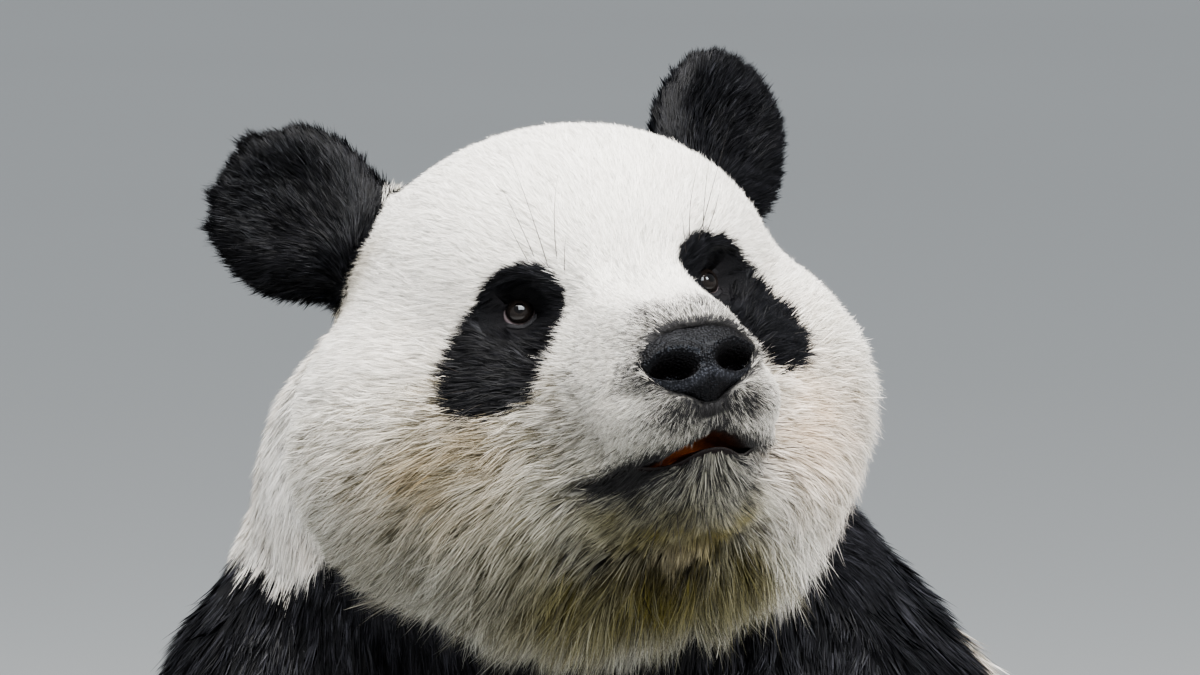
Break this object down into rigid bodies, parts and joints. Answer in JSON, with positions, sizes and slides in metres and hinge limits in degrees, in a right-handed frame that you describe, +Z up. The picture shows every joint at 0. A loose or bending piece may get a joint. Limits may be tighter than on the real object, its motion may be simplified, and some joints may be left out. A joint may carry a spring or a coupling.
{
  "type": "giant panda",
  "caption": "Life-size museum model of a giant panda sitting upright on its rump with its forepaws on the floor, head raised and turned to its left.",
  "frame": {"origin": "on the floor at the middle of the flat under the rump", "axes": "+Z up; the body faces -Y, the panda's left side is +X, and the tail lies towards +Y"},
  "size_m": [0.9378, 1.0037, 1.036],
  "materials": {
    "white_coat": "long matte off-white fur",
    "black_coat": "dense black fur with a soft sheen",
    "nose_leather": "moist pebbled black nose leather",
    "eye": "wet glossy dark brown",
    "tongue": "moist pink-brown",
    "claw_horn": "satin dark horn"
  },
  "bodies": {
    "root": {"abdomen": "white_coat", "chest": "black_coat", "claw_fore_left_1": "claw_horn", "claw_fore_left_2": "claw_horn", "claw_fore_left_3": "claw_horn", "claw_fore_left_4": "claw_horn", "claw_fore_left_5": "claw_horn", "claw_fore_right_1": "claw_horn", "claw_fore_right_2": "claw_horn", "claw_fore_right_3": "claw_horn", "claw_fore_right_4": "claw_horn", "claw_fore_right_5": "claw_horn", "claw_hind_left_1": "claw_horn", "claw_hind_left_2": "claw_horn", "claw_hind_left_3": "claw_horn", "claw_hind_left_4": "claw_horn", "claw_hind_left_5": "claw_horn", "claw_hind_right_1": "claw_horn", "claw_hind_right_2": "claw_horn", "claw_hind_right_3": "claw_horn", "claw_hind_right_4": "claw_horn", "claw_hind_right_5": "claw_horn", "ear_left": "black_coat", "ear_right": "black_coat", "eye_left": "eye", "eye_right": "eye", "forearm_left": "black_coat", "forearm_right": "black_coat", "forepaw_left": "black_coat", "forepaw_right": "black_coat", "head": "white_coat", "hind_foot_left": "black_coat", "hind_foot_right": "black_coat", "neck": "white_coat", "nose": "nose_leather", "shin_left": "black_coat", "shin_right": "black_coat", "tail": "white_coat", "thigh_left": "black_coat", "thigh_right": "black_coat", "tongue": "tongue", "upper_arm_left": "black_coat", "upper_arm_right": "black_coat"}
  },
  "joints": []
}
